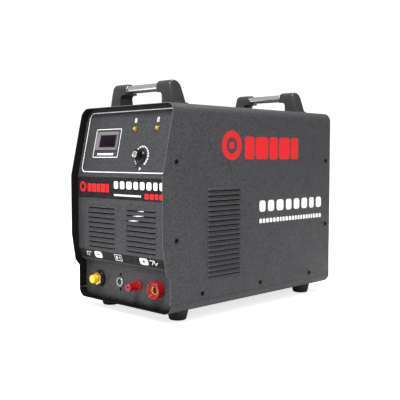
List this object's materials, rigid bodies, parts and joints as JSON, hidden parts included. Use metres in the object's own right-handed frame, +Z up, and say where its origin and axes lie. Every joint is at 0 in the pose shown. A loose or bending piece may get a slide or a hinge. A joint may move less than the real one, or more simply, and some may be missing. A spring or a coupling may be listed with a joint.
{
  "type": "plasma cutter",
  "caption": "Box-shaped plasma cutter power source with a sloped control panel, front sockets, side and front louvres, two top handles and four feet.",
  "frame": {"origin": "on the surface that the feet stand on, under the middle of the unit's bounding box", "axes": "+Z up, the front with its controls and sockets faces -Y, +X is on the right of someone facing the front, +Y is the unit's length towards the rear"},
  "size_m": [0.3056, 0.587, 0.4935],
  "materials": {
    "case_coat": "textured powder coat",
    "handle_plastic": "moulded, satin",
    "chrome": "polished",
    "foot_rubber": "matt",
    "meter_bezel": "smooth",
    "smoked_lens": "polished",
    "brass": "machined",
    "amber_lens": "translucent",
    "black_plastic": "moulded",
    "toggle_plastic": "moulded",
    "aluminium": "machined",
    "steel": "plated",
    "black_steel": "black oxide",
    "red_plastic": "moulded",
    "yellow_plastic": "moulded",
    "circuit_board": "solder mask",
    "winding_copper": "varnished winding"
  },
  "bodies": {
    "case": {"cover": "case_coat", "base_pan": "case_coat", "front_panel": "case_coat", "rear_panel": "case_coat", "front_handle_left_leg": "handle_plastic", "front_handle_right_leg": "handle_plastic", "rear_handle_left_leg": "handle_plastic", "rear_handle_right_leg": "handle_plastic", "front_handle_tube": "chrome", "rear_handle_tube": "chrome", "pilot_socket_shell": "chrome", "fan_guard": "chrome", "front_left_foot": "foot_rubber", "front_right_foot": "foot_rubber", "rear_left_foot": "foot_rubber", "rear_right_foot": "foot_rubber", "display_module": "meter_bezel", "display_lens": "smoked_lens", "left_lamp_bezel": "brass", "right_lamp_bezel": "brass", "torch_socket_nipple": "brass", "binding_post_stud": "brass", "work_socket_insert": "brass", "gas_inlet": "brass", "left_lamp_lens": "amber_lens", "right_lamp_lens": "amber_lens", "torch_socket_flange": "black_plastic", "pilot_socket_insert": "black_plastic", "fan_frame": "black_plastic", "breaker_body": "black_plastic", "cable_gland": "black_plastic", "heat_sink": "aluminium", "potentiometer": "steel", "earth_stud": "steel", "inner_deck": "steel", "solenoid_valve": "steel", "left_front_lower_screw": "black_steel", "left_front_upper_screw": "black_steel", "left_rear_lower_screw": "black_steel", "left_rear_upper_screw": "black_steel", "right_front_lower_screw": "black_steel", "right_front_upper_screw": "black_steel", "right_rear_lower_screw": "black_steel", "right_rear_upper_screw": "black_steel", "top_left_screw": "black_steel", "top_right_screw": "black_steel", "binding_post_base": "red_plastic", "work_socket_collar": "red_plastic", "power_board": "circuit_board", "control_board": "circuit_board", "transformer": "winding_copper", "output_choke": "winding_copper"},
    "knob": {"current_knob": "black_plastic", "knob_cap": "aluminium", "knob_spindle": "steel"},
    "fan": {"fan_rotor": "black_plastic"},
    "toggle": {"breaker_toggle": "toggle_plastic"},
    "dust_cap": {"torch_dust_cap": "yellow_plastic"},
    "post_washer": {"binding_post_washer": "steel"},
    "post_nut": {"binding_post_nut": "red_plastic"}
  },
  "joints": [
    {"name": "knob_turn", "type": "hinge", "parent": "case", "child": "knob", "pos_m": [0.057, -0.26614, 0.33597], "axis": [0, -0.976, 0.2176], "range_deg": [-140, 140]},
    {"name": "fan_spin", "type": "hinge", "parent": "case", "child": "fan", "pos_m": [0, 0.2465, 0.152], "axis": [0, 1, 0], "continuous": true},
    {"name": "toggle_throw", "type": "hinge", "parent": "case", "child": "toggle", "pos_m": [-0.08, 0.264, 0.352], "axis": [1, 0, 0], "range_deg": [0, 70]},
    {"name": "dust_cap_pull", "type": "slide", "parent": "case", "child": "dust_cap", "axis": [0, -1, 0], "range_m": [0, 0.03]},
    {"name": "post_washer_slide", "type": "slide", "parent": "case", "child": "post_washer", "axis": [0, -1, 0], "range_m": [0, 0.00375]},
    {"name": "post_nut_turn", "type": "hinge", "parent": "post_washer", "child": "post_nut", "pos_m": [0.033, -0.2735, 0.065], "axis": [0, -1, 0], "range_deg": [0, 1080]}
  ],
  "couplings": [
    {"joint": "post_washer_slide", "follows": "post_nut_turn", "m_per_rad": 0.00019894}
  ]
}
